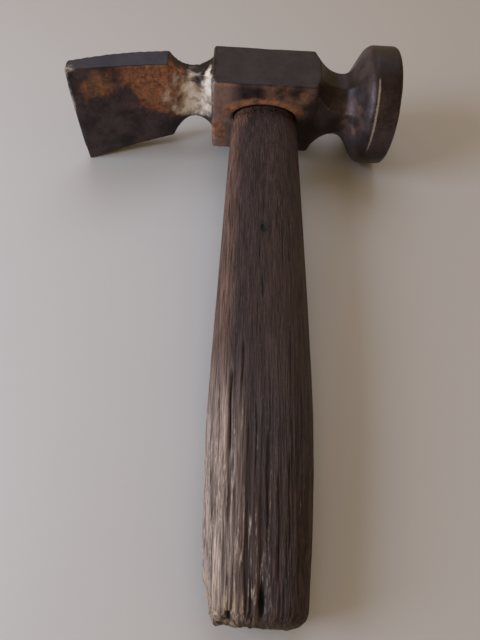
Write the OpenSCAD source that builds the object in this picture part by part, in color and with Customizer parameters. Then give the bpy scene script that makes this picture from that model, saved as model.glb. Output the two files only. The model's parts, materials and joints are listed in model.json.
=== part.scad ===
// Shoemaker's hammer lying on its side: a forged head with a round belled face at
// one end and a broad drooping cross peen at the other, on a short oval handle held
// in the eye by a wooden wedge and two steel cross wedges.
// The head runs along X with its face at +X, the handle points to -Y and Z is up.
// Shapes are drawn in the head's own frame, whose origin is the middle of the eye,
// and lie() then lays them on the floor.

/* [Striking face] */
// Diameter of the round face
face_d = 45; // [44:0.5:46]
// Distance from the middle of the eye to the back edge of the face's rim
rim_back = 42; // [41:0.5:46]
// Width of the rim, from its back edge to the front of the head
rim_w = 9; // [7:0.5:11]
// Height of the crown in the middle of the face
face_crown = 1; // [0.4:0.1:2]
// Width of the waist behind the face, across its eight flats
waist_w = 22.4; // [20:0.2:23]

/* [Eye block] */
// Length of the block along the head
block_l = 42; // [38:0.5:43]
// Distance from the middle of the eye to the block's end on the face's side
block_end = 20.6; // [19:0.2:22]
// Depth of the block along the handle
block_t = 23.6; // [23:0.2:26]
// Height of the block from cheek to cheek
block_h = 31.8; // [28:0.2:34]
// Radius of the block's worn edges
block_r = 1.6; // [1:0.2:3]

/* [Cross peen] */
// Distance from the middle of the eye to the peen's edge
peen_reach = 75; // [70:0.5:80]
// How far the peen's edge droops towards the handle
peen_droop = 15.6; // [12:0.2:17]
// Width of the peen at its edge
peen_w = 42.8; // [41:0.2:43]
// Distance from the middle of the eye to the peen's shoulders
shoulder_reach = 38.4; // [36:0.2:42]
// Width of the peen across its shoulders
shoulder_w = 34; // [30:0.5:38]
// Thickness of the peen at its shoulders
shoulder_t = 9.2; // [8:0.1:10]
// Width of the neck between the block and the peen
neck_w = 19.6; // [16:0.2:24]

/* [Eye] */
// Length of the oval eye along the head
eye_l = 24.2; // [22:0.2:26]
// Width of the oval eye
eye_w = 13; // [11:0.2:14]

/* [Handle] */
// Distance from the middle of the eye to the butt
handle_reach = 188; // [170:1:210]
// Width of the grip at its widest
grip_w = 31; // [28:0.2:34]
// Thickness of the grip at its thickest, from cheek to cheek
grip_t = 21.4; // [19:0.2:23]
// Place of the grip's widest part, as a share of the length outside the head
grip_at = 0.67; // [0.5:0.01:0.8]
// Width of the handle just below the head
collar_w = 26; // [25:0.2:28]
// Thickness of the handle just below the head
collar_t = 14.4; // [13:0.2:18]
// Length over which the handle narrows to enter the eye
shoulder_l = 8; // [4:0.5:12]
// Width of the butt
butt_w = 25.8; // [22:0.2:30]
// Thickness of the butt
butt_t = 18.4; // [16:0.2:21]
// Radius of the butt's worn edge
butt_r = 3.5; // [2:0.5:5]
// How far the butt stands off the handle's line, towards the peen
butt_lean = 0.8; // [0:0.1:2]
// How far the handle's end stands out of the eye
tenon_proud = 1; // [0.2:0.1:2]

/* [Wedges] */
// Length of the wooden wedge along the eye
wedge_l = 19; // [14:0.5:20]
// Thickness of the wooden wedge at its top
wedge_t = 2.6; // [1.6:0.1:3.2]
// Depth to which the wooden wedge is driven
wedge_depth = 17; // [15:0.5:20]
// Length of each steel wedge across the eye
steel_l = 9.6; // [7:0.2:10]
// Thickness of each steel wedge at its top
steel_t = 1.8; // [1.2:0.1:2.4]
// Depth to which each steel wedge is driven
steel_depth = 12; // [9:0.5:14]
// Distance between the two steel wedges
steel_gap = 9.6; // [8:0.2:11]

/* [Hidden] */
$fn = 96;
curve_n = 10;
ring_n = 48;
fullness = 2.3;
tip_t = 0.4;
mouth_gap = 1.5;
mouth_clear = 0.7;
width_swell = 1.1;
thickness_swell = 2;
grip_n = 10;

face_r = face_d / 2;
face_front = rim_back + rim_w;
waist_r = waist_w / 2;
waist_x = 30.5;
turned_r = waist_r / cos(22.5) + 0.1;
bell_back = rim_back - 3;
block_far = block_end - block_l;
tenon_end = block_t / 2 + tenon_proud;
all_round = 2 * face_d;

// Distances from the head to the handle's ovals: close together where it narrows to
// enter the eye, even along the grip, and at even turns round the butt's edge.
handle_l = handle_reach - block_t / 2;
grip_end = handle_l - butt_r;
handle_ds = concat(
    [for (share = [0, 0.25, 0.6, 1]) share * shoulder_l],
    [for (i = [1:grip_n]) shoulder_l + (grip_end - shoulder_l) * i / grip_n],
    [for (turn = [30, 60, 90]) grip_end + butt_r * sin(turn)]
);

// The handle's measure across at a distance d from the head. From the mouth of the eye
// it widens to the collar, swells to the grip, narrows to the butt and rounds over.
function handle_size(d, mouth, collar, grip, butt, swell) =
    let (
        share = d / handle_l,
        to_mouth = (collar - mouth) * pow(max(0, 1 - d / shoulder_l), 2),
        to_collar = (grip - collar) * pow(max(0, 1 - share / grip_at), swell),
        to_butt = (grip - butt) * pow(max(0, share - grip_at) / (1 - grip_at), 2),
        past = max(0, d - grip_end),
        rounded = 2 * (butt_r - sqrt(max(0, butt_r * butt_r - past * past)))
    )
    grip - to_mouth - to_collar - to_butt - rounded;
function handle_w(d) = handle_size(d, eye_l - mouth_clear, collar_w, grip_w, butt_w, width_swell);
function handle_t(d) = handle_size(d, eye_w - mouth_clear, collar_t, grip_t, butt_t, thickness_swell);
function handle_x(d) = -butt_lean * pow(d / handle_l, 4);

// The hammer rests on the rim of its face and on the first part of the handle to
// touch as the butt comes down.
grip_ds = [for (d = handle_ds) if (d > handle_l / 2) d];
lie_tilt = min([for (d = grip_ds) touch_angle(block_t / 2 + d, handle_t(d) / 2)]);
mid_x = (face_front + face_crown - peen_reach) / 2;
mid_y = (face_r - handle_reach) / 2;

// Tilt at which a point y along the handle and b below its middle meets the floor.
function touch_angle(y, b) = asin(face_r / norm([y, b])) - atan2(b, y);

// Points of a cubic curve from a to d, drawn towards b and c.
function curve(a, b, c, d) = [
    for (i = [0:curve_n])
        let (t = i / curve_n, u = 1 - t)
        u * u * u * a + 3 * u * u * t * b + 3 * u * t * t * c + t * t * t * d
];

// The same points in the opposite order, and the same points mirrored.
function backwards(points) = [for (i = [len(points) - 1:-1:0]) points[i]];
function mirrored(points) = [for (p = points) [p[0], -p[1]]];

// Points of an oval that is l long and w wide. Its power is 2 for an ellipse, and a
// higher power makes it squarer.
function oval(l, w, power) = [
    for (i = [0:ring_n - 1])
        let (
            c = cos(360 * i / ring_n),
            s = sin(360 * i / ring_n),
            k = pow(pow(abs(c), power) + pow(abs(s), power), -1 / power)
        )
        [c * k * l / 2, s * k * w / 2]
];

// Outline of the turned bell, as radius along the head. Before the waist it also
// cuts the corners of the block.
turned_scotia = curve([17, 22.5], [20, 17.5], [24, turned_r], [waist_x, turned_r]);
turned_flare = curve(
    [waist_x, turned_r],
    [waist_x + 4.5, turned_r],
    [bell_back - 3, face_r * 0.755],
    [bell_back, face_r - 1.7]
);
turned_back = curve(
    [bell_back, face_r - 1.7],
    [bell_back + 0.9, face_r - 0.5],
    [bell_back + 1.8, face_r],
    [rim_back, face_r]
);
turned_front = curve(
    [face_front - 1.4, face_r],
    [face_front - 0.6, face_r],
    [face_front, face_r - 0.5],
    [face_front, face_r - 1.2]
);
turned_crown = curve(
    [face_front, face_r - 1.2],
    [face_front + face_crown * 0.5, face_r * 0.66],
    [face_front + face_crown, face_r * 0.33],
    [face_front + face_crown, 0]
);

// Outline of a flat of the waist, as distance from the head's axis along the head.
flat_scotia = curve([17, 22], [20, 16.5], [24, waist_r], [waist_x, waist_r]);
flat_flare = curve(
    [waist_x, waist_r],
    [waist_x + 4.5, waist_r],
    [bell_back - 3, face_r * 0.69],
    [bell_back + 0.3, face_r - 1]
);
flat_past_bell = [[rim_back - 1, face_d], [face_front + 5, face_d]];

// Lays the hammer on its side, from the head's own frame to the floor.
module lie() {
    translate([-mid_x, -mid_y, face_r])
        rotate([lie_tilt, 0, 0])
            children();
}

// Extrudes an outline in X and Y to the height h, evenly about the middle.
module along_z(h) {
    translate([0, 0, -h / 2])
        linear_extrude(height = h)
            children();
}

// Extrudes an outline in X and Z to the depth d, evenly about the middle.
module along_y(d) {
    translate([0, d / 2, 0])
        rotate([90, 0, 0])
            linear_extrude(height = d)
                children();
}

// Extrudes an outline in Y and Z along the head, from x0 to x1.
module along_x(x0, x1) {
    translate([x0, 0, 0])
        rotate([90, 0, 90])
            linear_extrude(height = x1 - x0)
                children();
}

// A rectangle with rounded corners.
module round_rect(x0, x1, half_h, r) {
    translate([x0 + r, -half_h])
        square([x1 - x0 - 2 * r, 2 * half_h]);
    translate([x0, r - half_h])
        square([x1 - x0, 2 * half_h - 2 * r]);
    for (x = [x0 + r, x1 - r])
        for (y = [r - half_h, half_h - r])
            translate([x, y])
                circle(r = r);
}

// The eye block, with rounded edges all round.
module block() {
    intersection() {
        along_z(block_h)
            round_rect(block_far, block_end, block_t / 2, block_r);
        along_y(block_t)
            round_rect(block_far, block_end, block_h / 2, block_r);
        along_x(block_far, block_end)
            round_rect(-block_t / 2, block_t / 2, block_h / 2, block_r);
        turned();
    }
}

// The turned shape that holds the face, the bell and the block's cut corners.
module turned() {
    outline = concat(
        [[block_far, 0], [block_far, 30], [12, 30]],
        turned_scotia,
        turned_flare,
        turned_back,
        turned_front,
        turned_crown
    );
    rotate([0, 90, 0])
        rotate_extrude()
            polygon([for (p = outline) [p[1], p[0]]]);
}

// One opposite pair of flats, facing up and down.
module flat_pair(scotia) {
    half = concat([[10, scotia[0][1]]], scotia, flat_flare, flat_past_bell);
    along_y(all_round)
        polygon(concat(half, backwards(mirrored(half))));
}

// The waist and bell: eight flats that run out on the turned bell. The two that face
// along the handle run straight to the block, and up to the waist the bell is no
// bigger than the block.
module bell() {
    straight = [[17, waist_r], [waist_x, waist_r]];
    intersection() {
        turned();
        union() {
            along_x(block_end - 2 * block_r, waist_x)
                round_rect(-block_t / 2, block_t / 2, block_h / 2, block_r);
            along_x(waist_x, face_front + 2 * face_crown)
                circle(r = face_d);
        }
        flat_pair(flat_scotia);
        rotate([45, 0, 0])
            flat_pair(flat_scotia);
        rotate([90, 0, 0])
            flat_pair(straight);
        rotate([135, 0, 0])
            flat_pair(flat_scotia);
    }
}

// The cross peen and its neck: a side outline crossed with a front outline.
module peen() {
    root_x = block_far + 2;
    shoulder_x = -shoulder_reach;
    edge_far = [1.4 - peen_reach, 5.2 - peen_droop];
    edge_near = [0.6 - peen_reach, -peen_droop - 0.8];
    far_side = curve(
        [root_x, 9.4],
        [-38, shoulder_t * 0.55],
        [-50, 3],
        edge_far
    );
    tip = curve(
        edge_far,
        [0.2 - peen_reach, 3 - peen_droop],
        [-peen_reach, -peen_droop],
        edge_near
    );
    near_side = curve(
        edge_near,
        [-61, -11.6],
        [-50, -7],
        [shoulder_x, -shoulder_t * 0.45]
    );
    scoop = curve(
        [shoulder_x, -shoulder_t * 0.45],
        [shoulder_x + 6, 1.6],
        [root_x - 6, 2.6],
        [root_x, -5]
    );
    half_scotia = curve(
        [root_x, neck_w * 0.74],
        [root_x - 6, neck_w * 0.42],
        [shoulder_x + 5, neck_w * 0.4],
        [shoulder_x, shoulder_w / 2]
    );
    half_edge = curve(
        [0.9 - peen_reach, peen_w / 2],
        [0.5 - peen_reach, peen_w * 0.35],
        [-peen_reach, peen_w * 0.15],
        [-peen_reach, 0]
    );
    half_front = concat([[root_x + 2, neck_w * 0.74]], half_scotia, half_edge);
    intersection() {
        along_z(2 * peen_w)
            polygon(concat([[root_x + 2, 9.4]], far_side, tip, near_side, scoop, [[root_x + 2, -5]]));
        along_y(all_round)
            polygon(concat(half_front, backwards(mirrored(half_front))));
    }
}

// Drawn in the eye's own plane: X along the head and Y from cheek to cheek.
module eye_oval() {
    polygon(oval(eye_l, eye_w, 2));
}

module hammer_head() {
    color("dimgray")
        lie()
            difference() {
                union() {
                    block();
                    bell();
                    peen();
                }
                along_y(2 * block_t)
                    eye_oval();
            }
}

// The tenon fills the eye up to the gap at its mouth. The grip outside swells and then
// rounds over at the butt.
module handle_stock() {
    tenon_ys = [tenon_end, mouth_gap - block_t / 2];
    tenon = [for (y = tenon_ys) [for (p = oval(eye_l, eye_w, 2)) [p[0], y, p[1]]]];
    grip = [
        for (d = handle_ds)
            let (outline = oval(handle_w(d), handle_t(d), fullness))
                [for (p = outline) [p[0] + handle_x(d), -block_t / 2 - d, p[1]]]
    ];
    rings = concat(tenon, grip);
    last = len(rings) - 1;
    sides = [
        for (r = [0:last - 1])
            for (i = [0:ring_n - 1])
                let (j = (i + 1) % ring_n)
                [r * ring_n + i, r * ring_n + j, (r + 1) * ring_n + j, (r + 1) * ring_n + i]
    ];
    start = [for (i = [ring_n - 1:-1:0]) i];
    butt = [for (i = [0:ring_n - 1]) last * ring_n + i];
    polyhedron(points = [for (r = rings) for (p = r) p], faces = concat([start], sides, [butt]));
}

// Outline of a wedge that is t thick at its top and driven to the given depth.
module wedge_outline(t, depth) {
    polygon([
        [-t / 2, tenon_end],
        [t / 2, tenon_end],
        [tip_t / 2, tenon_end - depth],
        [-tip_t / 2, tenon_end - depth]
    ]);
}

module wood_wedge_shape() {
    rotate([0, 90, 0])
        along_z(wedge_l)
            wedge_outline(wedge_t, wedge_depth);
}

module steel_wedge_shape(side) {
    translate([side * steel_gap / 2, 0, 0])
        along_z(steel_l)
            wedge_outline(steel_t, steel_depth);
}

module handle() {
    color("saddlebrown")
        lie()
            difference() {
                handle_stock();
                wood_wedge_shape();
                steel_wedge_shape(1);
                steel_wedge_shape(-1);
            }
}

module wooden_wedge() {
    color("tan")
        lie()
            difference() {
                wood_wedge_shape();
                steel_wedge_shape(1);
                steel_wedge_shape(-1);
            }
}

module steel_wedge(side) {
    color("gray")
        lie()
            steel_wedge_shape(side);
}

hammer_head();
handle();
wooden_wedge();
steel_wedge(1);  // steel_wedge_face
steel_wedge(-1);  // steel_wedge_peen
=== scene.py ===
# %% [markdown]
# # A shoemaker's hammer, lying on its side
#
# The real hammer is a forged head on a short wooden handle. The head has a round face
# on a turned bell, a square block with the eye through it, and a broad peen that droops
# towards the handle. It is old: the iron is brown-black with rust in the corners, and
# the handle has gone grey and split at the butt.
#
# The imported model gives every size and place. This lesson builds the surfaces: it
# measures the plain solids, makes finer meshes of the same shape, wears them down as
# years of use do, and then paints them with node materials.

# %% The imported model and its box
import itertools
import json
import math

import bpy
import numpy as np
from mathutils import Matrix, Vector


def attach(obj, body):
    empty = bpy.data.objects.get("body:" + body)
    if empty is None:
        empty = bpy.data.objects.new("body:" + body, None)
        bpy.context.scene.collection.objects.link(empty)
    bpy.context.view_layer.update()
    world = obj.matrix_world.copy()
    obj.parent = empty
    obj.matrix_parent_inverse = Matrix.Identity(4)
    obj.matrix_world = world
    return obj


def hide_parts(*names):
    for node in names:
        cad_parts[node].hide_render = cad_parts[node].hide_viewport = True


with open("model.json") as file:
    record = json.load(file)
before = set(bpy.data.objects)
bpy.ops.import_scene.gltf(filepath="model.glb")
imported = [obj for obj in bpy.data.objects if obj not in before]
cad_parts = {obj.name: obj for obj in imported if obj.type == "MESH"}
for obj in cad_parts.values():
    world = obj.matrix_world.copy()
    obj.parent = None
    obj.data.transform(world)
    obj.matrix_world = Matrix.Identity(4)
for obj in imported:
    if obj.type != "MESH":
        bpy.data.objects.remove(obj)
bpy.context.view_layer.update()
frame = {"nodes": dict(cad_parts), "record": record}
print("nodes:", sorted(frame["nodes"]))

# %% [markdown]
# ## The hammer's own frame
#
# The hammer rests on the rim of its face and on its butt, so it lies at a few degrees to
# the floor. Shapes are easier to think about in a frame that belongs to the hammer:
# millimetres from the middle of the eye, with x along the head towards the face, y out of
# the top of the eye, and z up through the cheeks. The two cheeks are flat faces that the
# record states, and the eye's middle lies halfway between them.

# %% Millimetres in the hammer's own frame
MM = 0.001
mounts = {m["name"]: np.array(m["pos_m"]) for m in frame["record"]["mounts"]}
eye_middle = (mounts["lower_cheek"] + mounts["upper_cheek"]) / 2
cheek_to_cheek = mounts["upper_cheek"] - mounts["lower_cheek"]
z_axis = cheek_to_cheek / np.linalg.norm(cheek_to_cheek)
x_axis = np.array([1.0, 0.0, 0.0])
own_axes = np.stack([x_axis, np.cross(z_axis, x_axis), z_axis], axis=1)


def to_floor(p):
    """Points from the hammer's own millimetres to metres on the floor."""
    return eye_middle + MM * p @ own_axes.T


def to_own(p):
    """Points from metres on the floor to the hammer's own millimetres."""
    return (p - eye_middle) @ own_axes / MM


def coordinates(mesh):
    """The mesh's vertices as an array."""
    flat = np.empty(len(mesh.vertices) * 3, np.float32)
    mesh.vertices.foreach_get("co", flat)
    return flat.reshape(-1, 3).astype(float)


lean = math.degrees(math.atan2(-z_axis[1], z_axis[2]))
print(f"block {np.linalg.norm(cheek_to_cheek) / MM:.1f} mm from cheek to cheek, leaning {lean:.2f} degrees")

# %% [markdown]
# ## Roughness to work with
#
# Forged iron and old wood are uneven at several scales at once. A small noise function
# gives the same unevenness on every run: it puts a fixed random number at each corner of
# a grid of boxes and blends smoothly between them. Long boxes give streaks, which is how
# wood grain is made later.

# %% Noise for shapes
def corner_value(cell, seed):
    """A fixed random number from -1 to 1 for each whole-numbered cell."""
    h = cell[:, 0] * 374761393 + cell[:, 1] * 668265263 + cell[:, 2] * 1440662683 + seed * 974634777
    h = (h ^ (h >> 13)) & 0xFFFFFFFF
    h = (h * 1274126177) & 0xFFFFFFFF
    h = (h ^ (h >> 15)) & 0xFFFFFF
    return h / 0x7FFFFF - 1.0


def noise(p, size, seed):
    """Smooth noise from -1 to 1 at points p. size is one box in millimetres, or x, y, z."""
    q = p / np.asarray(size, float)
    cell = np.floor(q).astype(np.int64)
    f = q - cell
    f = f * f * (3 - 2 * f)
    total = np.zeros(len(p))
    for corner in itertools.product((0, 1), repeat=3):
        share = np.where(corner, f, 1 - f).prod(axis=1)
        total += share * corner_value(cell + corner, seed)
    return total


def rough(p, size, seed, layers=3):
    """Noise on noise: each layer is half the size and half the height of the last."""
    size = np.asarray(size, float)
    return sum(noise(p, size / 2**k, seed + k) / 2**k for k in range(layers)) / 1.75


def ease(low, high, x):
    """0 below low, 1 above high, and a smooth rise between."""
    t = np.clip((x - low) / (high - low), 0, 1)
    return t * t * (3 - 2 * t)


def patch(p, centre, reach):
    """1 at the centre of a soft patch, and 0 outside its reach along x, y and z."""
    away = (((p - np.array(centre)) / np.array(reach)) ** 2).sum(axis=1)
    return ease(1, 0.15, away)


# %% [markdown]
# ## From a plain solid to a forging
#
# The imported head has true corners, as a drawing has. A forging has none. One way would be
# to bevel every edge by hand, but the flats of the waist run out in the bell, and a bevel
# stops badly there. Voxel remeshing is simpler: it rebuilds the whole surface from small
# even squares, and a little smoothing then rounds every edge by the same amount, as
# handling and tumbling in a tool box do.
#
# The remesh works on a copy, in millimetres, so that one voxel is a fraction of a
# millimetre and its grid follows the head.

# %% Helpers that rebuild a mesh
def new_piece(name, mesh):
    """A new object that holds this mesh."""
    piece = bpy.data.objects.new(name, mesh)
    bpy.context.scene.collection.objects.link(piece)
    return piece


def baked(piece):
    """The piece's mesh with its modifiers worked in. The piece itself goes."""
    graph = bpy.context.evaluated_depsgraph_get()
    mesh = bpy.data.meshes.new_from_object(piece.evaluated_get(graph))
    bpy.data.objects.remove(piece)
    return mesh


def voxel_copy(node, voxel):
    """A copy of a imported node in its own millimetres, rebuilt from even squares."""
    mesh = frame["nodes"][node].data.copy()
    mesh.vertices.foreach_set("co", to_own(coordinates(mesh)).ravel())
    piece = new_piece("blank", mesh)
    weld = piece.modifiers.new("weld", "WELD")
    weld.merge_threshold = 0.001
    remesh = piece.modifiers.new("remesh", "REMESH")
    remesh.mode = "VOXEL"
    remesh.voxel_size = voxel
    return baked(piece)


def edge_pairs(mesh):
    """The two vertices of each edge."""
    flat = np.empty(len(mesh.edges) * 2, np.int32)
    mesh.edges.foreach_get("vertices", flat)
    return flat.reshape(-1, 2)


def relaxed(values, pairs, times):
    """Moves each vertex's values towards its neighbours' average, over and over."""
    a, b = pairs.T
    count = len(values)
    neighbours = np.bincount(pairs.ravel(), minlength=count)
    for _ in range(times):
        total = np.stack(
            [np.bincount(a, v[b], count) + np.bincount(b, v[a], count) for v in values.T], axis=1
        )
        values = values + 0.6 * (total / neighbours[:, None] - values)
    return values


def outward(mesh, p):
    """Puts the vertices at p and returns the way out of the surface at each."""
    mesh.vertices.foreach_set("co", p.ravel())
    mesh.update()
    flat = np.empty(len(mesh.vertices) * 3, np.float32)
    mesh.vertex_normals.foreach_get("vector", flat)
    return flat.reshape(-1, 3).astype(float)


def keep(mesh, name, values):
    """Stores one number, or three, for each vertex, which a material can read."""
    kind = "FLOAT" if values.ndim == 1 else "FLOAT_VECTOR"
    stored = mesh.attributes.new(name, kind, "POINT")
    stored.data.foreach_set("value" if values.ndim == 1 else "vector", values.ravel())


def finished(name, mesh, p, *nodes):
    """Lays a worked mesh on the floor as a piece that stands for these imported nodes."""
    mesh.vertices.foreach_set("co", to_floor(p).ravel())
    mesh.polygons.foreach_set("use_smooth", np.ones(len(mesh.polygons), bool))
    mesh.update()
    piece = new_piece(name, mesh)
    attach(piece, "root")
    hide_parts(*nodes)
    print(name, len(mesh.polygons), "faces")
    return piece


# %% The head's blank
VOXEL = 0.38
head_mesh = voxel_copy("hammer_head", VOXEL)
head_pairs = edge_pairs(head_mesh)
blank = relaxed(coordinates(head_mesh), head_pairs, 3)
head_out = outward(head_mesh, blank)
print("blank from", blank.min(axis=0).round(1), "to", blank.max(axis=0).round(1), "mm")

# %% [markdown]
# ## Where the head is proud and where it is hollow
#
# Wear takes the brown skin off edges that stand proud. Rust gathers in hollows, and the
# material makes hollows darker. To tell them apart, the surface is smoothed a lot and
# compared with itself: an edge stands outside its smoothed copy, and a hollow lies inside it.

# %% Proud edges and hollows of the head
softened = relaxed(blank, head_pairs, 24)
stands_out = ((blank - softened) * head_out).sum(axis=1)
edge = ease(0.03, 0.22, stands_out)
hollow = ease(0.02, 0.15, -stands_out)
print(f"edges cover {edge.mean():.0%} of the head, hollows {hollow.mean():.0%}")

# %% [markdown]
# ## Hammer marks, pits and chips
#
# The smith's hammer leaves broad shallow dents, rust eats pits of about a millimetre, and
# knocks chip the edges. The eye's mouth has opened where the handle has worked loose. All
# of these take metal away, so each is a depth, and the surface moves inward by their sum.
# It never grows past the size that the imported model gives.

# %% Working the head's surface
EYE_HALF = (12.1, 6.5)
RIM_BACK = 42.0
DENT = 0.16
RIPPLE = 0.05
PIT = 0.14
CHIP = 0.5
DISH = 1.3
x, y, z = blank.T
on_peen = ease(-36, -41, x)
on_bell = ease(22, 30, x)
on_rim = ease(RIM_BACK - 2, RIM_BACK, x)
near_side = ease(0.2, 0.8, -head_out[:, 1])
dents = DENT * ease(-0.2, 0.7, rough(blank, 9, 11))
ripple = RIPPLE * (1 + rough(blank, 3.2, 21))
pits = PIT * ease(0.28, 0.6, rough(blank, 1.5, 31, 2)) * (0.35 + 0.65 * near_side)
chips = CHIP * edge * ease(0.35, 0.75, rough(blank, 3.4, 41, 2))
mouth_oval = np.hypot(x / EYE_HALF[0], z / EYE_HALF[1])
near_face = ease(-9.5, -11.5, y) * (abs(x) < 16)
dished = DISH * ease(1.17, 1.03, mouth_oval) * near_face * ease(-3, 4, z)
depth = (dents + ripple) * (1 - 0.6 * on_rim) + pits * (1 - 0.5 * on_bell) + chips * (1 - 0.6 * on_rim)
depth = depth + dished
head_shape = blank - head_out * depth[:, None]
print(f"deepest mark {depth.max():.2f} mm")

# %% [markdown]
# ## Where the rust and the crust are
#
# Rust has gathered round the mouth of the eye, where the handle holds damp, and on the
# inner side of the peen. The neck beside the block has a pale, flaking crust, which also
# lies along the block's edge. Painted shadows darken the near side of the block beside the
# eye, the bell's neck and the lower rim, and a painted highlight runs along the rim's back
# edge. Each is a soft patch with its place in millimetres, and the material breaks its
# outline up.

# %% Patches of rust and crust
drift = 0.22 * rough(blank, 6, 61)
loose = blank + 3.6 * rough(blank, 7, 63)[:, None]
eye_band = 1.25 * ease(1.95, 1.12, mouth_oval * (1 + 0.25 * drift)) * near_side * ease(-3, 7, z)
blade_stain = ease(-72, -44, x) * ease(-12, 7, z + 0.3 * (x + 46)) * on_peen * near_side
rust = np.maximum.reduce([
    eye_band,
    0.92 * blade_stain,
    0.95 * patch(loose, (-42, -6, 7), (14, 13, 16)),
    0.6 * patch(loose, (-64, -11, 12), (11, 9, 9)),
    0.72 * patch(loose, (-19, -12, -7), (6, 6, 9)),
    0.7 * patch(blank, (-33, -4, 0), (10, 9, 14)),
    0.34 * patch(loose, (36, -13, 5), (9, 12, 13)),
    0.5 * patch(blank, (8, -12, 12), (17, 4, 6)),
    0.35 * hollow * near_side,
])
rust = (rust + drift * (rust > 0.05)).clip(0, 1.25)
rust = rust * (1 - 0.65 * patch(loose, (-56, -10, 5), (8, 9, 7)))
# Rust is kept off the peen's upward faces, which get painted shade instead.
rust = rust * (1 - 0.9 * on_peen * ease(0.4, 0.8, head_out[:, 2]))
faded = near_side * ease(-8, -17, x) * ease(-24, -20, x)
# Painted shadows on the near side: the handle's cast shadow on the block's face beside the eye, and shade
# on the bell's neck and under the rim.
painted_shadow = near_side * np.maximum.reduce([
    patch(blank, (17, -12, -3), (9, 6, 12)),
    0.55 * patch(blank, (27, -8, 3), (7, 9, 10)),
    0.55 * patch(blank, (47, -19, -8), (9, 11, 14)),
])
crust = np.maximum.reduce([
    patch(loose, (-29, -3, 0), (11, 13, 15)),
    0.8 * patch(loose, (-22, -2, 6), (3.2, 13, 17)),
    0.35 * patch(loose, (-73, -16, 19), (3.5, 4, 4)),
    0.5 * patch(loose, (-36, -6, 5), (9, 8, 12)),
])
crust = (crust + 0.6 * drift * (crust > 0.05)).clip(0, 1)
# Rubbed bare metal at the block's corner, the peen's edge and the bell's neck, and a patch at the rim's
# back edge that carries the painted highlight there.
rubbed_and_highlight = np.maximum.reduce([
    0.9 * patch(blank, (-21, -10, 14), (3.5, 5, 6)),
    0.8 * patch(blank, (-73, -17, 14), (5, 6, 14)),
    patch(blank, (42, -14, 8), (3.5, 12, 17)),
    0.4 * patch(blank, (24, -9, 4), (4, 5, 8)),
])
bare_and_highlight = edge * (0.2 + 0.8 * rubbed_and_highlight) * (0.6 + 0.4 * ease(-0.3, 0.5, rough(blank, 6, 51)))
# A painted highlight: a thin bright line along the rim's back edge.
RIM_HIGHLIGHT_WIDTH = 0.55
painted_rim_highlight = np.exp(-(((x - RIM_BACK) / RIM_HIGHLIGHT_WIDTH) ** 2)) * patch(blank, (RIM_BACK, -17, 9), (5, 17, 19))
bare_and_highlight = np.maximum(bare_and_highlight, 0.95 * painted_rim_highlight)

keep(head_mesh, "mm", blank)
keep(head_mesh, "rust", rust)
keep(head_mesh, "crust", crust)
keep(head_mesh, "bare_and_highlight", bare_and_highlight)
# The stored "hollow" number darkens the hollows. It also carries painted shade: the gap at the eye's
# widened mouth and the painted shadows.
keep(head_mesh, "hollow", np.maximum.reduce([0.7 * hollow, ease(0.5, 1.2, dished), 0.75 * painted_shadow]))
keep(head_mesh, "faded", faded)
# Painted shade: the head's upward faces, off the peen, are stored here, and the material makes them darker.
keep(head_mesh, "cheek", (1 - on_peen) * ease(0.55, 0.95, head_out[:, 2]))
# Painted shade and a cool painted reflection: the peen's upward faces, which the material makes darker and
# bluer.
keep(head_mesh, "peen_top_shade_and_sheen", on_peen * ease(0.45, 0.9, head_out[:, 2]))
head = finished("hammer_head_forged", head_mesh, head_shape, "hammer_head")

# %% [markdown]
# ## Writing a material as a recipe
#
# A node material can be drawn by hand, but written out it is hard to follow. These short
# helpers each add one node and hand back its output, so that a finish reads as a recipe:
# a tone here, a blend there. Textures are measured in the hammer's own millimetres, which
# each piece carries with it, so one pattern always has its real size.

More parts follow.
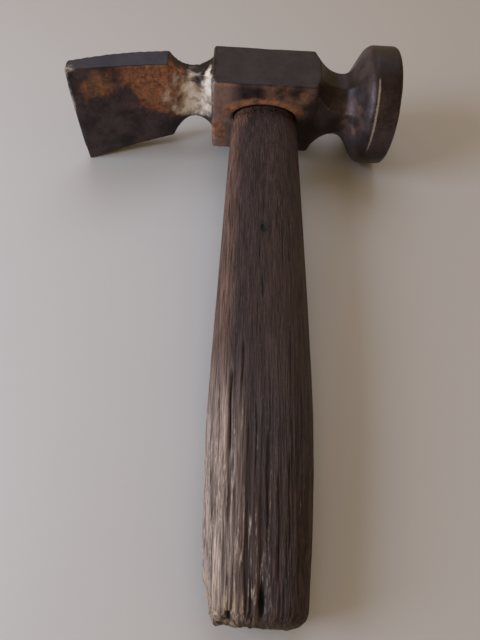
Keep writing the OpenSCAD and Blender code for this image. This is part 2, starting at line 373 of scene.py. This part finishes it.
# %% Helpers for node materials
class Finish:
    """One material under construction."""

    def __init__(self, name):
        self.material = bpy.data.materials.new(name)
        self.material.use_nodes = True
        self.tree = self.material.node_tree
        self.shader = self.tree.nodes["Principled BSDF"]

    def add(self, kind, output, inputs, **settings):
        """Adds a node, sets or links its inputs, and returns one output."""
        made = self.tree.nodes.new("ShaderNode" + kind)
        for key, value in settings.items():
            setattr(made, key, value)
        for key, value in inputs.items():
            self.feed(made.inputs[key], value)
        return made.outputs[output]

    def feed(self, socket, value):
        """Links an output to a socket, or writes a plain value there."""
        if isinstance(value, bpy.types.NodeSocket):
            self.tree.links.new(value, socket)
        else:
            socket.default_value = value

    def stored(self, name):
        """A number that the piece carries at each vertex."""
        return self.add("Attribute", "Fac", {}, attribute_name=name)

    def place(self, stretch=(1, 1, 1)):
        """The hammer's own millimetres, stretched along its axes."""
        mm = self.add("Attribute", "Vector", {}, attribute_name="mm")
        return self.add("Mapping", "Vector", {"Vector": mm, "Scale": stretch})

    def mottle(self, place, scale, detail=3.0, roughness=0.55, distortion=0.0):
        """Cloudy noise, about 0.3 to 0.7."""
        inputs = {
            "Vector": place, "Scale": scale, "Detail": detail,
            "Roughness": roughness, "Distortion": distortion,
        }
        return self.add("TexNoise", 0, inputs)

    def rise(self, value, low, high, bottom=0.0, top=1.0):
        """A smooth rise from bottom at low to top at high."""
        inputs = {"Value": value, 1: low, 2: high, 3: bottom, 4: top}
        return self.add("MapRange", "Result", inputs, interpolation_type="SMOOTHSTEP")

    def sum(self, operation, a, b):
        """One sum: ADD, MULTIPLY, MAXIMUM or another."""
        return self.add("Math", 0, {0: a, 1: b}, operation=operation)

    def blend(self, share, a, b):
        """One colour over another."""
        made = self.tree.nodes.new("ShaderNodeMix")
        made.data_type = "RGBA"
        for socket, value in ((0, share), (6, a), (7, b)):
            self.feed(made.inputs[socket], value)
        return made.outputs[2]

    def relief(self, height, strength, distance):
        """Fine relief from a height, too small to model."""
        inputs = {"Height": height, "Strength": strength, "Distance": distance}
        self.feed(self.shader.inputs["Normal"], self.add("Bump", "Normal", inputs))

    def coat(self, piece, colour, roughness, metallic=0.0):
        """Finishes the shader and puts the material on a piece."""
        self.feed(self.shader.inputs["Base Color"], colour)
        self.feed(self.shader.inputs["Roughness"], roughness)
        self.feed(self.shader.inputs["Metallic"], metallic)
        piece.data.materials.clear()
        piece.data.materials.append(self.material)


def tone(red, green, blue):
    """A colour for a socket."""
    return (red, green, blue, 1.0)


# %% [markdown]
# ## Old iron
#
# Old forged iron is not one colour. Under it all is a brown-purple skin of oxide, a little
# shiny where hands have polished it. Over that come fine scratches, painted shade on the
# upward faces, cooler on the peen, bright metal on the proud edges with a painted highlight
# along the rim, orange rust, the pale crust, and last a darkening of the hollows that also
# carries painted shade where shadows fall. The material lays them down in that order, so
# each one covers the last only where its patch and its noise agree.

# %% The oxide skin and its scratches
iron = Finish("forged_iron")
iron_place = iron.place()
clouds = iron.mottle(iron_place, 0.11, 4.0)
grit = iron.mottle(iron_place, 0.9, 3.0, 0.65)
drawn = iron.mottle(iron.place((0.35, 5.0, 5.0)), 1.0, 2.0)
skin = iron.blend(iron.rise(clouds, 0.36, 0.64), tone(0.034, 0.024, 0.026), tone(0.088, 0.062, 0.065))
skin = iron.blend(iron.rise(grit, 0.5, 0.72, 0.0, 0.45), skin, tone(0.026, 0.018, 0.019))
skin = iron.blend(iron.rise(drawn, 0.56, 0.7, 0.0, 0.35), skin, tone(0.16, 0.13, 0.13))
# Painted shade: the peen's upward faces go darker and bluer, as a cool reflection.
skin = iron.blend(iron.sum("MULTIPLY", iron.stored("peen_top_shade_and_sheen"), 0.75), skin, tone(0.030, 0.031, 0.044))
# Painted shade on the head's other upward faces.
skin = iron.blend(iron.sum("MULTIPLY", iron.stored("cheek"), 0.78), skin, tone(0.018, 0.010, 0.011))
tan = iron.sum("MULTIPLY", iron.stored("faded"), iron.rise(clouds, 0.35, 0.6, 0.5, 0.95))
skin = iron.blend(tan, skin, tone(0.34, 0.205, 0.165))

# %% Bare edges, rust and crust
speckle = iron.mottle(iron_place, 0.55, 5.0, 0.72)
flakes = iron.mottle(iron_place, 0.24, 5.0, 0.62)
# Bare metal on worn edges, and the painted highlight along the rim's back edge, in a pale steel colour.
wear_and_highlight = iron.rise(iron.sum("ADD", iron.stored("bare_and_highlight"), grit), 0.85, 1.35)
skin = iron.blend(wear_and_highlight, skin, tone(0.40, 0.36, 0.33))
rusty = iron.rise(iron.sum("ADD", iron.stored("rust"), flakes), 0.66, 1.34, 0.0, 0.95)
rust_dark = iron.blend(iron.rise(clouds, 0.4, 0.6), tone(0.095, 0.045, 0.030), tone(0.17, 0.088, 0.052))
orange_share = iron.rise(iron.stored("rust"), 0.3, 1.0, 0.45, 1.0)
orange = iron.sum("MULTIPLY", iron.rise(speckle, 0.36, 0.68), orange_share)
rust_colour = iron.blend(orange, rust_dark, tone(0.46, 0.175, 0.080))
skin = iron.blend(rusty, skin, rust_colour)
flaky = iron.rise(iron.sum("ADD", iron.stored("crust"), flakes), 0.76, 1.46, 0.0, 0.9)
crust_colour = iron.blend(iron.rise(flakes, 0.36, 0.60), tone(0.55, 0.40, 0.29), tone(0.98, 0.88, 0.78))
crust_colour = iron.blend(iron.rise(speckle, 0.52, 0.70, 0.0, 0.6), crust_colour, tone(0.34, 0.22, 0.13))
skin = iron.blend(flaky, skin, crust_colour)
# Darker in the hollows. The same stored number carries painted shade: black in the gap at the eye's widened
# mouth, and painted shadows on the block's face beside the eye, the bell's neck and the lower rim.
skin = iron.blend(iron.stored("hollow"), skin, tone(0.012, 0.008, 0.007))

# %% The iron's gloss and its fine relief
matt = iron.sum("MAXIMUM", rusty, flaky)
metal = iron.rise(matt, 0.0, 0.8, 0.62, 0.0)
gloss = iron.rise(iron.sum("ADD", matt, iron.sum("MULTIPLY", grit, 0.35)), 0.1, 0.9, 0.4, 0.85)
relief = iron.sum("ADD", iron.sum("MULTIPLY", speckle, 0.7), iron.sum("MULTIPLY", drawn, 0.3))
iron.relief(relief, 0.5, 0.0004)
iron.shader.inputs["Specular IOR Level"].default_value = 0.35
iron.coat(head, skin, gloss, metal)
print("iron:", len(iron.tree.nodes), "nodes")

# %% [markdown]
# ## The handle's shape
#
# The handle is a turned and shaved stick, oval in section, that swells towards the butt.
# Voxel squares would blur its grain, which runs one way. So this mesh is a loft: rings of
# points from the tenon down to the butt, close together around the handle, where grain
# lines are narrow, and further apart along it, where they are long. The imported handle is
# measured for the width, thickness and place of every ring.

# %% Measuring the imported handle
plain = to_own(coordinates(frame["nodes"]["handle"].data))
plain = plain[plain[:, 1] < -11]
stations = np.unique(plain[:, 1].round(1))[::-1]
rings = [plain[abs(plain[:, 1] - s) < 0.3] for s in stations]
half_widths = np.array([np.ptp(r[:, 0]) / 2 for r in rings])
half_thicknesses = np.array([abs(r[:, 2]).max() for r in rings])
shifts = np.array([(r[:, 0].max() + r[:, 0].min()) / 2 for r in rings])
print(len(stations), "rings measured, widest", (2 * half_widths.max()).round(1), "mm")

# %% The loft
AROUND = 400
STEP = 0.55
CAP_RINGS = 14
TENON_TOP = 12.8
SHOULDER = -12.1
butt = stations[-1]


def smooth_along(values, places):
    """Reads a measure at any place along the handle, without corners."""
    fine = np.arange(butt, SHOULDER, 0.5)
    read = np.interp(fine, stations[::-1], values[::-1])
    spread = np.exp(-(np.arange(-6, 7) / 3.0) ** 2)
    soft = np.convolve(np.pad(read, 6, "edge"), spread / spread.sum(), "valid")
    near_end = ease(butt + 9, butt + 3, fine)
    near_head = ease(SHOULDER - 6, SHOULDER - 2, fine)
    keep_sharp = np.maximum(near_end, near_head)
    return np.interp(places, fine, keep_sharp * read + (1 - keep_sharp) * soft)


def ring_points(places, shrink=1.0):
    """Rings of points at these places along y, shrunk towards their middle."""
    places = np.atleast_1d(places)
    grip = ease(-11.0, -12.4, places)
    wide = (1 - grip) * EYE_HALF[0] + grip * smooth_along(half_widths, places)
    thick = (1 - grip) * EYE_HALF[1] + grip * smooth_along(half_thicknesses, places)
    shift = grip * smooth_along(shifts, places)
    power = 2 + 0.3 * ease(-11, -16, places)
    turn = np.arange(AROUND) * 2 * math.pi / AROUND
    c = np.cos(turn)[None, :]
    s = np.sin(turn)[None, :]
    k = (abs(c) ** power[:, None] + abs(s) ** power[:, None]) ** (-1 / power[:, None])
    px = shift[:, None] + shrink * c * k * wide[:, None]
    pz = shrink * s * k * thick[:, None]
    py = np.broadcast_to(places[:, None], px.shape)
    return np.stack([px, py, pz], axis=-1)


def handle_loft():
    """The handle as one closed mesh: a cap, the rings, another cap."""
    places = np.arange(TENON_TOP, butt + 1.2, -STEP)
    places = np.append(places, [butt + 0.8, butt + 0.4, butt + 0.15, butt])
    shrinks = np.linspace(0, 1, CAP_RINGS + 1)[1:-1]
    top = np.concatenate([ring_points(TENON_TOP, s) for s in shrinks])
    end = np.concatenate([ring_points(butt, s) for s in shrinks[::-1]])
    all_rings = np.concatenate([top, ring_points(places), end])
    count = len(all_rings)
    first = np.arange(count - 1)[:, None] * AROUND + np.arange(AROUND)
    beside = np.arange(count - 1)[:, None] * AROUND + (np.arange(AROUND) + 1) % AROUND
    quads = np.stack([first, first + AROUND, beside + AROUND, beside], axis=-1).reshape(-1, 4)
    points = all_rings.reshape(-1, 3)
    poles = np.array([[0.0, TENON_TOP, 0.0], [ring_points(butt)[0, :, 0].mean(), butt, 0.0]])
    points = np.concatenate([points, poles])
    last = (count - 1) * AROUND
    around = np.arange(AROUND)
    after = (around + 1) % AROUND
    top_fan = np.stack([np.full(AROUND, len(points) - 2), around, after], axis=-1)
    end_fan = np.stack([np.full(AROUND, len(points) - 1), last + after, last + around], axis=-1)
    mesh = bpy.data.meshes.new("handle")
    mesh.from_pydata(points.tolist(), [], quads.tolist() + top_fan.tolist() + end_fan.tolist())
    return mesh, points


handle_mesh, stick = handle_loft()
handle_out = outward(handle_mesh, stick)
inside_out = (handle_out[:, 0] * stick[:, 0] + handle_out[:, 2] * stick[:, 2]).mean() < 0
if inside_out:
    handle_mesh.flip_normals()
    handle_out = -handle_out
print("handle", len(handle_mesh.polygons), "faces, turned over:", bool(inside_out))

# %% [markdown]
# ## Grain, weather and splits
#
# Near the head the wood is close and dark, polished by hands. Towards the butt the soft
# wood has weathered away between the hard lines, and leaves pale raised ridges with dark
# grooves. Drying has opened a few long splits, and the butt is broken along its corners.
# All of it is wood that has gone, so all of it is depth. The same depths are stored for
# the material, so that colour and shape agree: raised wood is pale, deep wood is dark.
#
# The splits stand at even steps across the handle, on the top and on the underside. A
# seeded draw moves each one a little and sets where it starts, its length, its width and
# its depth.

# %% The raised grain
x, y, z = stick.T
on_side = ease(0.93, 0.6, abs(handle_out[:, 1])) * ease(-11.5, -14, y)
weather = ease(-112, -160, y) * (0.28 + 0.72 * ease(6, -5, x))
weather = weather * (0.75 + 0.35 * noise(stick, (7, 38, 7), 61)).clip(0, 1.2)
lines = rough(stick, (1.15, 46, 1.15), 71, 2)
fine_lines = rough(stick, (0.62, 9, 0.62), 81, 2)
hard_lines = ease(0.17, 0.03, abs(noise(stick, (0.7, 40, 0.7), 75)))
grooves = ease(0.30, -0.30, lines) * (1 - 0.75 * hard_lines)
crests = np.maximum(0.34 * ease(0.1, 0.4, lines + 0.5 * fine_lines), 0.95 * hard_lines)
checks = ease(0.34, 0.62, rough(stick, (0.5, 14, 0.5), 121, 2)) * (1 - 0.6 * weather.clip(0, 1))
grain_depth = on_side * (
    0.07 * ease(0.3, -0.4, fine_lines)
    + 0.30 * checks
    + (0.05 + 0.72 * weather) * grooves
    + 0.26 * weather * ease(0.2, -0.4, fine_lines)
)
print(f"grain up to {grain_depth.max():.2f} mm deep")


# %% The splits
HALF_WIDE = half_widths.max()
HALF_THICK = half_thicknesses.max()
LENGTH = SHOULDER - butt
TOP, UNDER = 1, -1
SPLITS_A_SIDE = 7
local_half = smooth_along(half_widths, y)
wander = 0.22 * noise(np.stack([y * 0, y, y * 0], axis=1), 11.0, 91)


def down_at(share):
    """The place along y at this share of the way from the head to the butt."""
    return SHOULDER - share * LENGTH


def split(side, across, shares, width, depth):
    """A drying split, its places given as shares of the half width and of the length."""
    start, stop = down_at(shares[0]), down_at(shares[1])
    over = np.exp(-(((x - across * local_half - wander) / width) ** 2))
    along = ease(start + 3, start - 4, y) * ease(stop - 3, stop + 4, y)
    return depth * over * along * (z * side > 0) * on_side


SPLIT_SEED = 12
luck = np.random.default_rng(SPLIT_SEED)
splits = split(TOP, 0.0, (0.95, 0.985), 0.85, 2.0)
for side in (TOP, UNDER):
    for across in np.linspace(-0.75, 0.45, SPLITS_A_SIDE):
        start = luck.uniform(0.58, 0.82)
        shares = (start, start + luck.uniform(0.08, 0.17))
        place = across + luck.uniform(-0.05, 0.05)
        one = split(side, place, shares, luck.uniform(0.17, 0.3), luck.uniform(0.5, 1.2))
        splits = np.maximum(splits, one)
print(f"splits up to {splits.max():.1f} mm deep")

# %% [markdown]
# ## The knot and the broken butt
#
# There is a small dark pit where a knot has dropped out, about a third of the way down the
# top. At the butt one corner has split away and left a pale splinter, and the fibres end
# unevenly. The knot stands at a share of the handle's length, and the marks at the butt
# are measured in millimetres from it.

# %% Knot, chipped corner and uneven fibre ends
knot_edge = stick + 0.55 * noise(stick, 2.3, 97)[:, None]
KNOT_SHARE = 0.35
RAGGED_FROM = 9
knot_down = down_at(KNOT_SHARE)
knot_place = (0, knot_down, smooth_along(half_thicknesses, knot_down))
knot = 0.7 * patch(knot_edge, knot_place, (1.4, 1.9, 3.0))
corner_chip = 2.6 * patch(stick, (-HALF_WIDE, butt + 2, 2), (5.0, 10, 10))
corner_chip = corner_chip * (0.7 + 0.5 * lines.clip(-0.5, 0.6))
butt_nick = 0.9 * patch(stick, (-HALF_WIDE / 2, butt + 1, 0.8 * HALF_THICK), (1.1, 2.6, 4))
on_end = ease(0.5, 0.85, abs(handle_out[:, 1]))
end_marks = on_end * 0.16 * (1 + rough(stick, (0.9, 400, 0.9), 98))
gone = grain_depth + splits + knot + corner_chip + butt_nick + end_marks
near_butt = ease(butt + RAGGED_FROM, butt, y) * (0.25 + 0.75 * ease(4, -7, x))
thin_fibres = noise(stick, (1.1, 400, 1.1), 95)
thick_fibres = noise(stick, (4, 400, 4), 96)
fibre_ends = near_butt * (0.8 + 0.8 * thin_fibres + 0.5 * thick_fibres)
worked = stick - handle_out * gone[:, None]
worked[:, 1] += fibre_ends.clip(0, 3)
print(f"fibres end up to {fibre_ends.max():.1f} mm short")

# %% What the wood's material will read
keep(handle_mesh, "mm", stick)
keep(handle_mesh, "weather", weather)
keep(handle_mesh, "groove", grooves * on_side * (0.25 + 0.75 * weather.clip(0, 1)))
keep(handle_mesh, "crest", crests * weather.clip(0, 1))
# Painted light: the handle's left flank, where the light falls, and a patch at its shoulder by the head,
# which the material paints a lighter red-brown.
lit_shoulder = 0.8 * patch(stick, (-9.5, -17, 4), (6, 9, 6))
keep(handle_mesh, "lit_flank", np.maximum(ease(-7.5, -12.5, x + 0.9 * lines), lit_shoulder))
keep(handle_mesh, "bleached", ease(-112, -150, y) * ease(-3, -11, x + 1.2 * lines))
keep(handle_mesh, "split", np.maximum(ease(0.45, 0.95, splits + butt_nick), 0.75 * checks * on_side))
keep(handle_mesh, "knot", patch(knot_edge, knot_place, (2.4, 2.9, 4.0)))
broken_end = 0.85 * ease(-176, -186, y) * ease(-1, -9, x) * ease(-0.1, 0.3, fine_lines) * (z > -3)
fresh = ease(0.5, 1.9, corner_chip) * ease(0.1, 0.5, lines + 0.4)
splinter = patch(stick, (2 - HALF_WIDE, butt + 9, 2), (1.8, 5, 6)) * ease(-0.1, 0.2, fine_lines)
keep(handle_mesh, "fresh", np.maximum.reduce([fresh, broken_end, splinter]))
keep(handle_mesh, "end", on_end)
handle_mesh.vertices.foreach_set("co", worked.ravel())

# %% [markdown]
# ## Slots for the wedges
#
# In the real tenon each wedge sits in a split that it has forced open. A wedge drawn on top
# of solid wood would be hidden inside it, so the slots are cut for real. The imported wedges
# are the cutters, stretched upwards so that they break through the top of the tenon. The
# new edges have no place in millimetres yet, so that is written again after the cut. The
# steel wedges cross the wooden one face to face. Cut to their exact size, the slots would
# leave paper-thin sheets between them, so the steel ones are cut a hair wider.

# %% Cutting the slots
ABOVE = 3.0
HAIR = 0.03


def slotted(mesh, nodes):
    """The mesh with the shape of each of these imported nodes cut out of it."""
    blank_piece = new_piece("blank", mesh)
    cutters = []
    for node in nodes:
        cutter_mesh = frame["nodes"][node].data.copy()
        shape = to_own(coordinates(cutter_mesh))
        shape[shape[:, 1] > TENON_TOP - 0.1, 1] += ABOVE
        if node.startswith("steel"):
            middle = (shape.min(axis=0) + shape.max(axis=0)) / 2
            shape += HAIR * np.sign(shape - middle)
        cutter_mesh.vertices.foreach_set("co", shape.ravel())
        cutter = new_piece("cutter", cutter_mesh)
        weld = cutter.modifiers.new("weld", "WELD")
        weld.merge_threshold = 0.001
        cut = blank_piece.modifiers.new("slot", "BOOLEAN")
        cut.operation = "DIFFERENCE"
        cut.solver = "EXACT"
        cut.object = cutter
        cutters.append(cutter)
    cut_mesh = baked(blank_piece)
    for cutter in cutters:
        bpy.data.objects.remove(cutter)
    return cut_mesh


WEDGES = ("wooden_wedge", "steel_wedge_face", "steel_wedge_peen")
before = len(handle_mesh.vertices)
handle_mesh = slotted(handle_mesh, WEDGES)
cut_shape = coordinates(handle_mesh)
stored_mm = handle_mesh.attributes["mm"].data
flat = np.empty(len(cut_shape) * 3, np.float32)
stored_mm.foreach_get("vector", flat)
mm_now = flat.reshape(-1, 3)
TENON_FOOT = -11
in_tenon = cut_shape[:, 1] > TENON_FOOT
mm_now[in_tenon] = cut_shape[in_tenon]
stored_mm.foreach_set("vector", mm_now.ravel())
print("slots cut:", before, "vertices before,", len(cut_shape), "after")

handle = finished("handle_old_wood", handle_mesh, cut_shape, "handle")

# %% [markdown]
# ## The wood's colour
#
# The wood is dark brown with a purple cast from years of polish and dirt. Streaks of
# noise, stretched along the handle, give the grain. The left flank, where the light falls,
# is painted a lighter red-brown as painted light. Where the weather mask is strong and the
# wood stands proud, the colour goes to pale beige-grey. Grooves and splits stay dark.

# %% Dark handled wood
wood = Finish("old_wood")
long_streaks = wood.mottle(wood.place((0.75, 0.035, 0.75)), 1.0, 4.0, 0.6, 0.3)
thin_streaks = wood.mottle(wood.place((3.2, 0.09, 3.2)), 1.0, 3.0, 0.6)
blotches = wood.mottle(wood.place((0.07, 0.03, 0.07)), 1.0, 3.0)
streaky = wood.rise(long_streaks, 0.34, 0.68)
brown = wood.blend(streaky, tone(0.012, 0.0075, 0.008), tone(0.047, 0.027, 0.029))
brown = wood.blend(wood.rise(thin_streaks, 0.46, 0.66, 0.0, 0.65), brown, tone(0.100, 0.060, 0.054))
brown = wood.blend(wood.rise(thin_streaks, 0.46, 0.32, 0.0, 0.6), brown, tone(0.010, 0.006, 0.006))
brown = wood.blend(wood.rise(blotches, 0.48, 0.66, 0.0, 0.4), brown, tone(0.055, 0.024, 0.017))
# Painted light on the lit left flank: a lighter red-brown.
lit_flank_share = wood.sum("MULTIPLY", wood.stored("lit_flank"), wood.rise(long_streaks, 0.35, 0.6, 0.4, 0.9))
red_streaks = wood.rise(thin_streaks, 0.36, 0.62)
lit_flank_colour = wood.blend(red_streaks, tone(0.070, 0.030, 0.020), tone(0.25, 0.135, 0.095))
brown = wood.blend(lit_flank_share, brown, lit_flank_colour)
flecks = wood.mottle(wood.place((3.4, 0.55, 3.4)), 1.0, 3.0, 0.7)
brown = wood.blend(wood.rise(flecks, 0.56, 0.76, 0.0, 0.6), brown, tone(0.15, 0.105, 0.092))

# %% Weathered ridges, grooves, splits and broken wood
broken = wood.mottle(wood.place((2.6, 0.5, 2.6)), 1.0, 4.0, 0.65)
faded_wood = wood.rise(wood.stored("weather"), 0.15, 1.0, 0.0, 0.55)
brown = wood.blend(faded_wood, brown, tone(0.115, 0.075, 0.066))
bleached = wood.sum("MULTIPLY", wood.stored("bleached"), wood.rise(long_streaks, 0.3, 0.6, 0.5, 0.95))
pale_streaks = wood.rise(thin_streaks, 0.34, 0.60)
bleached_colour = wood.blend(pale_streaks, tone(0.19, 0.130, 0.110), tone(0.58, 0.45, 0.40))
brown = wood.blend(bleached, brown, bleached_colour)
brown = wood.blend(wood.sum("MULTIPLY", wood.stored("groove"), 0.85), brown, tone(0.013, 0.008, 0.008))
pale = wood.sum("ADD", wood.stored("crest"), wood.sum("MULTIPLY", broken, 0.9))
pale = wood.rise(pale, 0.62, 1.3)
ridge_colour = wood.blend(wood.rise(broken, 0.4, 0.62), tone(0.20, 0.135, 0.105), tone(0.46, 0.36, 0.31))
brown = wood.blend(pale, brown, ridge_colour)
rings_place = wood.add("Mapping", "Vector", {"Vector": wood.place(), "Location": (26.0, 0.0, 9.0)})
ring_lines = wood.add(
    "TexWave", "Fac", {"Vector": rings_place, "Scale": 0.27, "Distortion": 5.0, "Detail": 3.0},
    wave_type="RINGS", rings_direction="Y",
)
end_wood = wood.blend(ring_lines, tone(0.050, 0.032, 0.025), tone(0.105, 0.070, 0.052))
end_wood = wood.blend(wood.rise(flecks, 0.45, 0.7, 0.0, 0.6), end_wood, tone(0.022, 0.014, 0.012))
brown = wood.blend(wood.stored("end"), brown, end_wood)
brown = wood.blend(wood.stored("fresh"), brown, tone(0.45, 0.33, 0.24))
brown = wood.blend(wood.sum("MULTIPLY", wood.stored("knot"), 0.85), brown, tone(0.008, 0.014, 0.013))
brown = wood.blend(wood.stored("split"), brown, tone(0.005, 0.004, 0.004))
wood_gloss = wood.rise(wood.stored("weather"), 0.0, 0.8, 0.5, 0.85)
wood.relief(wood.sum("ADD", thin_streaks, broken), 0.85, 0.0006)
wood.shader.inputs["Specular IOR Level"].default_value = 0.3
wood.coat(handle, brown, wood_gloss)
print("wood:", len(wood.tree.nodes), "nodes")

# %% [markdown]
# ## The wedges
#
# A wooden wedge splits the tenon along the eye, and two thin steel wedges cross it. They
# are hammered in, so their tops are bruised. The blanks are rebuilt from small squares,
# like the head, and worn in the same way. The steel ones rust where they meet the wood.

# %% Working a wedge
PROUD = 0.45


def worked_wedge(name, node, voxel, mark_size, mark_depth, seed):
    """A packed wedge with rounded edges, a marked surface and its top a little proud."""
    mesh = voxel_copy(node, voxel)
    shape = relaxed(coordinates(mesh), edge_pairs(mesh), 2)
    out = outward(mesh, shape)
    marks = 0.5 + 0.5 * rough(shape, mark_size, seed)
    keep(mesh, "mm", shape)
    keep(mesh, "marks", marks)
    shape = shape - out * (mark_depth * marks)[:, None]
    shape[:, 1] += PROUD * ease(TENON_TOP - 3, TENON_TOP - 0.5, shape[:, 1])
    return finished(name, mesh, shape, node)


wood_wedge = worked_wedge("wooden_wedge_driven", "wooden_wedge", 0.2, (5, 6, 0.5), 0.16, 101)
steel_wedges = []
for seed, side in enumerate(("face", "peen"), 111):
    node = "steel_wedge_" + side
    steel_wedge = worked_wedge(node + "_driven", node, 0.16, (1.2, 1.2, 1.2), 0.14, seed)
    steel_wedges.append(steel_wedge)

# %% The wedges' finishes
pale_wood = Finish("wedge_wood")
wedge_grain = pale_wood.mottle(pale_wood.place((0.5, 0.3, 4.5)), 1.0, 4.0, 0.6)
wedge_streaks = pale_wood.rise(wedge_grain, 0.35, 0.65)
wedge_brown = pale_wood.blend(wedge_streaks, tone(0.12, 0.08, 0.052), tone(0.33, 0.24, 0.16))
wedge_dirt = pale_wood.rise(pale_wood.stored("marks"), 0.45, 0.8, 0.0, 0.5)
wedge_brown = pale_wood.blend(wedge_dirt, wedge_brown, tone(0.03, 0.02, 0.016))
pale_wood.relief(wedge_grain, 0.5, 0.0003)
pale_wood.coat(wood_wedge, wedge_brown, pale_wood.rise(wedge_grain, 0.3, 0.7, 0.7, 0.9))

steel = Finish("wedge_steel")
steel_grit = steel.mottle(steel.place(), 1.1, 4.0, 0.65)
steel_rust = steel.rise(steel.sum("ADD", steel.stored("marks"), steel_grit), 0.8, 1.2)
steel_colour = steel.blend(steel_rust, tone(0.16, 0.145, 0.14), tone(0.13, 0.055, 0.028))
steel.relief(steel_grit, 0.5, 0.0003)
for steel_wedge in steel_wedges:
    steel.coat(steel_wedge, steel_colour, steel.rise(steel_rust, 0.0, 1.0, 0.42, 0.85), 0.6)

# %% [markdown]
# ## Floor, light and camera
#
# The hammer lies on a plain pale floor. A soft cool light, low and close on the left, is
# the main one: it brings out the grain, and it fades across the floor. A second, weaker
# one, far beyond the head and well above it, lights the floor there. It is kept high,
# because lower down the flat cheek would mirror it straight into the camera. The room
# gives a warm even fill, which keeps the soft shadow on the right brown. The camera hangs
# a hand's length above the handle and looks along it towards the head.

# %% The floor
def floor_plate(side):
    """A flat square floor at the height that the hammer lies on."""
    mesh = bpy.data.meshes.new("floor")
    h = side / 2
    mesh.from_pydata([(-h, -h, 0), (h, -h, 0), (h, h, 0), (-h, h, 0)], [], [(0, 1, 2, 3)])
    plate = new_piece("floor", mesh)
    return plate


FLOOR_SIDE = 40.0
floor = floor_plate(FLOOR_SIDE)
paint = Finish("pale_floor")
paint.coat(floor, tone(0.49, 0.473, 0.48), 0.5)

# %% The lights
def soft_light(name, place, size, watts, colour):
    """A square light that faces the hammer."""
    lamp = bpy.data.lights.new(name, "AREA")
    lamp.size = size
    lamp.energy = watts
    lamp.color = colour
    light = bpy.data.objects.new(name, lamp)
    light.location = place
    light.rotation_euler = (-Vector(place)).to_track_quat("-Z", "Y").to_euler()
    bpy.context.scene.collection.objects.link(light)


soft_light("window", (-0.45, -0.11, 0.27), 0.30, 3.15, (0.65, 0.77, 0.93))
soft_light("far_window", (0.0, 0.60, 0.85), 0.6, 2.4, (0.70, 0.79, 1.0))
sky = bpy.data.worlds.new("sky")
sky.use_nodes = True
backdrop = sky.node_tree.nodes["Background"].inputs
backdrop["Color"].default_value = tone(1.0, 0.71, 0.34)
backdrop["Strength"].default_value = 0.41
bpy.context.scene.world = sky
bpy.context.scene.view_settings.view_transform = "Standard"

# %% The camera
PLACE = (0.00112, -0.10526, 0.15160)
TURN = -2.343
TILT = 31.83
ROLL = 4.607
LENS = 28.21
camera = bpy.data.objects.new("camera", bpy.data.cameras.new("camera"))
camera.data.sensor_width = 36
camera.data.lens = LENS
camera.data.clip_start = 0.01
camera.matrix_world = (
    Matrix.Translation(PLACE)
    @ Matrix.Rotation(math.radians(TURN), 4, "Z")
    @ Matrix.Rotation(math.radians(TILT), 4, "X")
    @ Matrix.Rotation(math.radians(ROLL), 4, "Z")
)
bpy.context.scene.collection.objects.link(camera)
bpy.context.scene.camera = camera
